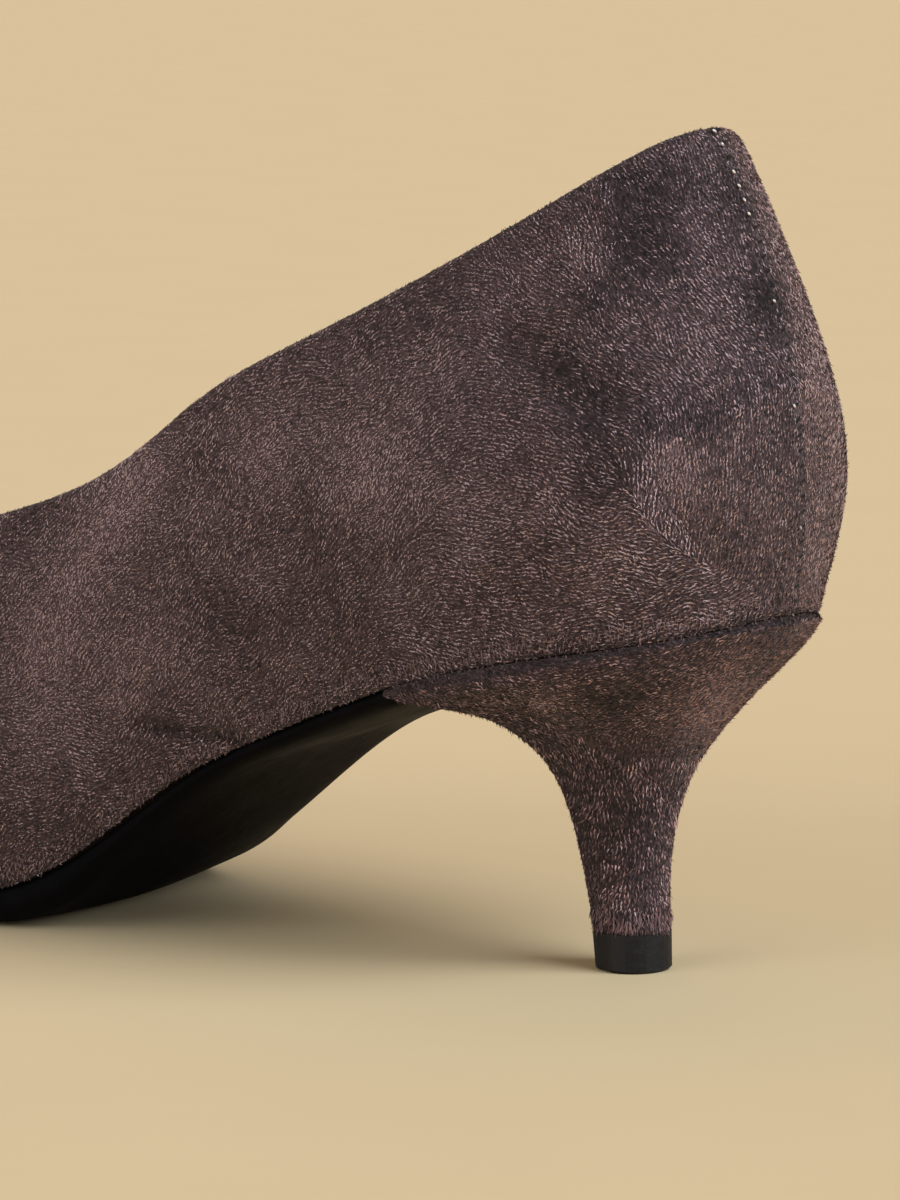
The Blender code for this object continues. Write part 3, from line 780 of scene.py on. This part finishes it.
def fibre_piece(name, corners, slots, finishes):
    """A piece of single triangles, each with the finish that its slot names."""
    count = len(slots)
    mesh = bpy.data.meshes.new(name)
    mesh.vertices.add(count * 3)
    mesh.vertices.foreach_set("co", corners.astype(np.float32).ravel())
    mesh.loops.add(count * 3)
    mesh.loops.foreach_set("vertex_index", np.arange(count * 3, dtype=np.int32))
    mesh.polygons.add(count)
    mesh.polygons.foreach_set("loop_start", np.arange(0, count * 3, 3, dtype=np.int32))
    mesh.polygons.foreach_set("material_index", slots)
    mesh.update(calc_edges=True)
    piece = bpy.data.objects.new(name, mesh)
    bpy.context.scene.collection.objects.link(piece)
    for finish in finishes:
        mesh.materials.append(finish)
    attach(piece, "root")


def fluff(name, mesh, faces, count, finishes, seed, length=0.46, lift=0.15, way=None, bare=(), parts=1,
          shade_facing_up=0.0, ridges=0.22):
    """Fibres of nap over the chosen faces, each one thin triangle, leaning the way that it is combed.

    The finishes are two lists, of cool and of warm fibres, from dark to light. Where a way is given, as
    along an edge, all fibres point that way. None stand at the bare places. Fibres that face up are
    darkened by the given share as painted shade, and those on the ridges of the strokes are lighter by
    ridges, as painted light on their tops.
    """
    chance = np.random.default_rng(seed)
    spots, out = skin_samples(mesh, faces, count, chance)
    kept = np.ones(count, bool)
    for place in bare:
        kept &= np.linalg.norm(spots - np.array(place), axis=1) > BARE_REACH * MM
    spots, out = spots[kept], out[kept]
    lay = combed(spots, out) if way is None else in_the_skin(np.array(way, float), out)
    ridge = streaks(spots, out, lay)
    corners = fibre_corners(spots, out, lay, ridge, length, lift, chance)
    # Painted light and shade: fibres on the ridges are lighter as lit tops, and fibres that face up are
    # darker as shade.
    shade = nap_tone(spots) + ridges * ridge + chance.normal(0, UNEVEN_TONE, len(spots))
    shade -= shade_facing_up * np.clip(3 * out[:, 2], 0, 1)
    cool, warm = finishes
    slots = np.minimum(np.searchsorted(TONE_STEPS, shade), len(cool) - 1)
    slots = (slots + len(cool) * (chance.random(len(spots)) < warmth_and_warm_light(spots))).astype(np.int32)
    for part in range(parts):
        fibre_piece(f"{name}_{part}", corners[part::parts], slots[part::parts], cool + warm)


def cover_with_nap(upper, heel, bare):
    """Nap all over the suede, with fringes along the upper's hem, the heel's rim and above its tip."""
    finishes = fibre_finishes("nap"), fibre_finishes("warm_nap", WARMER)
    heel_finishes = fibre_finishes("heel_nap", REDDER), fibre_finishes("warm_heel_nap", REDDER, WARMER)
    dull = [tones[:3] for tones in finishes]
    dull_heel = [tones[:3] for tones in heel_finishes]
    down, up = (0, 0, -1), (0, 0, 1)
    fluff("nap", upper.data, outer_faces(upper), 530000, finishes, 20, bare=bare, parts=3)
    fluff(
        "heel_nap", heel.data, outer_faces(heel), 90000, heel_finishes, 31,
        length=0.50, lift=0.18, shade_facing_up=0.4, ridges=0.14,
    )
    rim, above_tip = hem_faces(heel, low=20 * MM), hem_faces(heel, 0, 8 * MM)
    fluff("hem_nap", upper.data, hem_faces(upper), 26000, dull, 41, length=0.6, way=down)
    fluff("seat_nap", heel.data, rim, 8000, dull_heel, 42, length=0.35, way=up)
    fluff("tip_fringe", heel.data, above_tip, 9000, dull_heel, 43, length=1.0, lift=0.2, way=down)


# Upper. Its lower edge is pressed onto the heel and the sole.

UPPER_PRESS = 0.2 * MM
INSIDE = Vector((60, 0, 45)) * MM
OUTSIDE = Vector((60, -90, 45)) * MM


def make_upper(cloth, lining):
    """The upper, smoothed, with its folded topline, suede outside and lining inside."""
    form = merged("upper")
    inner = wall_from(form, INSIDE, Vector((0, -1, 0)))
    outer = wall_from(form, OUTSIDE, Vector((0, 1, 0)))
    for face in inner:
        face.material_index = 1
    under = [face for face in form.faces if face not in inner | outer and face.normal.z < 0]
    hemmed(form, under)
    for corner in {corner for face in under if face.normal.z < -0.8 for corner in face.verts}:
        corner.co.z -= UPPER_PRESS
    creased(form, 30, only_below=True)
    piece = smoothed(form, "suede_upper", 2, cloth, lining)
    press_folds(piece)
    mark_nap(piece)
    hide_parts("upper")
    return piece


# Back seam, in mm. The first holes from the top are wide and the others narrower. Some stitches, counted
# from the top, get a loop painted pale as a highlight.

SEAM_LINE = -1.25
SEAM_TOP, SEAM_FOOT = 105.0, 47.8
STITCH_PITCH = 1.85
HOLE_RADIUS = 0.36
HOLE_SHAPE = (0.75, 1.8, 1)
WIDE_HOLES, NARROWER = 7, 0.75
SUNK_SIZE = (1.3, 0.2, 0.2)
GLINT_SIZE = (0.66, 0.38, 0.3)
GLINTS = (0, 1, 3, 4, 5, 6, 12, 19, 27)


def needle_places(upper):
    """Where the needle went through, from the topline down, and the way out at each place."""
    tree = BVHTree.FromObject(upper, bpy.context.evaluated_depsgraph_get())
    places = []
    height = SEAM_TOP
    while height > SEAM_FOOT:
        spot, out, _, _ = tree.ray_cast(Vector((200, SEAM_LINE, height)) * MM, Vector((-1, 0, 0)))
        places.append((spot, out))
        height -= STITCH_PITCH * math.sqrt(max(0.2, 1 - out.z**2))
    return places


def add_thread(form, spot, turn, size):
    """A short rounded length of thread, with its size in mm."""
    bmesh.ops.create_uvsphere(
        form, u_segments=8, v_segments=6, radius=0.5 * MM,
        matrix=Matrix.Translation(spot) @ turn @ Matrix.Diagonal((*size, 1)),
    )


def make_back_seam(places):
    """Back seam stitches: dark discs of painted shade in the holes, sunk threads darkened as shade, pale
    highlight loops.
    """
    holes, glints, sunk_threads = bmesh.new(), bmesh.new(), bmesh.new()
    for number, (spot, out) in enumerate(places):
        down = (WAY_UP - out * out.z).normalized() * -1
        across = out.cross(down)
        turn = Matrix((down, across, out)).transposed().to_4x4()
        size = 1.0 if number < WIDE_HOLES else NARROWER
        # Painted shade: each needle hole is a dark disc laid just over the skin.
        drawn_out = turn @ Matrix.Rotation(0.25, 4, "Z") @ Matrix.Diagonal((*HOLE_SHAPE, 1))
        bmesh.ops.create_circle(
            holes, cap_ends=True, segments=9, radius=HOLE_RADIUS * size * MM,
            matrix=Matrix.Translation(spot + out * 0.20 * MM) @ drawn_out,
        )
        add_thread(sunk_threads, spot + (down * 0.9 - out * 0.03) * MM, turn, SUNK_SIZE)
        # Painted highlight: a pale loop at the listed stitches.
        if number in GLINTS:
            glint_at = spot + (down * 0.12 - across * 0.70 + out * 0.20) * MM
            add_thread(glints, glint_at, turn @ Matrix.Rotation(0.7, 4, "Z"), GLINT_SIZE)
    # The sunk thread is suede-toned thread darkened as painted shade of the groove between the holes.
    dull = Finish("seam_thread", Base_Color=paint(62, 49, 52), Roughness=0.6).material
    shadow = Finish("needle_shadow", Base_Color=paint(10, 7, 8), Roughness=1.0).material
    pieces = (
        (holes, "needle_holes", shadow), (glints, "thread_glints", painted_thread_highlight()),
        (sunk_threads, "seam_thread", dull),
    )
    for form, name, material in pieces:
        mesh = bpy.data.meshes.new(name)
        form.to_mesh(mesh)
        form.free()
        shown(mesh, name, material)


# Heel, sole and the pieces whose CAD shape is right

def make_heel(cloth):
    """The kitten heel, covered in the same suede."""
    form = merged("heel")
    hemmed(form, [face for face in form.faces if face.normal.z > 0.6 or face.normal.z < -0.9])
    creased(form, 30)
    piece = smoothed(form, "covered_heel", 3, cloth)
    mark_nap(piece)
    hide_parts("heel")
    return piece


def make_sole(black):
    """The black outsole and shank, smoothed, with a crisp edge, and fuller where it meets the floor."""
    fullest_at, reach, fullness, clearance = 27, 9, 1.6, 0.6
    form = merged("outsole")
    form.normal_update()
    for vertex in form.verts:
        along, across, height = vertex.co / MM
        near = ramp(across, 18, -7)
        under = ramp(vertex.normal.z, 0, -2 / 3)
        fuller = fullness * math.exp(-(((along - fullest_at) / reach) ** 2)) * near * under
        vertex.co.z = max(height - fuller, min(height, clearance)) * MM
    creased(form, 28)
    piece = smoothed(form, "black_outsole", 2, black)
    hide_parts("outsole")


def dress_cad():
    """The tip and the insole keep their CAD shape and get their finish."""
    finishes = {
        "top_piece": tip_black(),
        "insole": sock_leather("sock_leather", (176, 156, 132), (160, 140, 117), painted_shade_edge=True),
    }
    for node, material in finishes.items():
        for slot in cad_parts[node].material_slots:
            slot.material = material


def make_floor():
    """A wide sheet of paper that the shoe stands on."""
    form = bmesh.new()
    bmesh.ops.create_grid(form, x_segments=1, y_segments=1, size=8.0)
    mesh = bpy.data.meshes.new("floor")
    form.to_mesh(mesh)
    form.free()
    floor = bpy.data.objects.new("floor", mesh)
    mesh.materials.append(floor_paper())
    bpy.context.scene.collection.objects.link(floor)


aim_camera()
light_studio()
make_floor()
dress_cad()
upper = make_upper(suede("taupe_suede"), sock_leather("lining_leather", (150, 130, 110), (136, 116, 97)))
heel = make_heel(suede("taupe_suede_on_the_heel", coarse=1.25))
make_sole(sole_black())
stitches = needle_places(upper)
make_back_seam(stitches)
cover_with_nap(upper, heel, [spot for spot, out in stitches])
